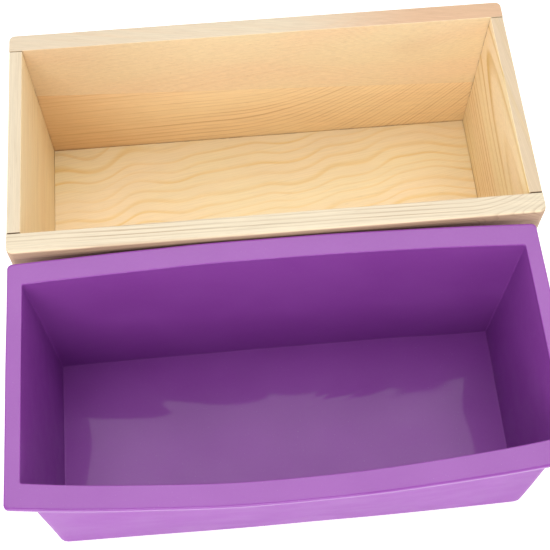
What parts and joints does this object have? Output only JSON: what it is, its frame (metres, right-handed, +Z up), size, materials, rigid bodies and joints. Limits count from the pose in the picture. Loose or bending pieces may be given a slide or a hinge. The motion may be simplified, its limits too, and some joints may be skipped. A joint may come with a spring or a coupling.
{
  "type": "soap loaf mould",
  "caption": "Open pine box with butt joints and a loose silicone liner with a flat flange, standing side by side. The liner drops into the box to cast a loaf of soap.",
  "frame": {"origin": "middle of the footprint of the box and the liner, on the surface that both stand on", "axes": "+Z up; +X along the mould, to the right as seen from the liner side; +Y from the liner towards the box"},
  "size_m": [0.27, 0.2688, 0.106],
  "materials": {
    "pine_front": "planed and lightly sanded, unfinished",
    "pine_back_upper": "planed and lightly sanded, unfinished",
    "pine_back_lower": "planed and lightly sanded, unfinished",
    "pine_ends": "planed and lightly sanded, unfinished",
    "pine_bottom": "flat sawn, lightly sanded, unfinished",
    "silicone": "semi-gloss purple silicone",
    "brad_steel": "bright wire"
  },
  "bodies": {
    "box": {"front_side_board": "pine_front", "back_upper_strip": "pine_back_upper", "back_lower_strip": "pine_back_lower", "left_end_board": "pine_ends", "right_end_board": "pine_ends", "bottom_board": "pine_bottom", "corner_brad_front_left_1": "brad_steel", "corner_brad_front_left_2": "brad_steel", "corner_brad_front_left_3": "brad_steel", "corner_brad_front_right_1": "brad_steel", "corner_brad_front_right_2": "brad_steel", "corner_brad_front_right_3": "brad_steel", "corner_brad_back_left_1": "brad_steel", "corner_brad_back_left_2": "brad_steel", "corner_brad_back_left_3": "brad_steel", "corner_brad_back_right_1": "brad_steel", "corner_brad_back_right_2": "brad_steel", "corner_brad_back_right_3": "brad_steel", "bottom_brad_front_1": "brad_steel", "bottom_brad_front_2": "brad_steel", "bottom_brad_front_3": "brad_steel", "bottom_brad_back_1": "brad_steel", "bottom_brad_back_2": "brad_steel", "bottom_brad_back_3": "brad_steel", "bottom_brad_left_1": "brad_steel", "bottom_brad_left_2": "brad_steel", "bottom_brad_right_1": "brad_steel", "bottom_brad_right_2": "brad_steel"},
    "liner": {"silicone_liner": "silicone"}
  },
  "joints": [
    {"name": "liner_lift", "type": "slide", "parent": "box", "child": "liner", "axis": [0, 0, 1], "range_m": [0, 0.12]}
  ]
}
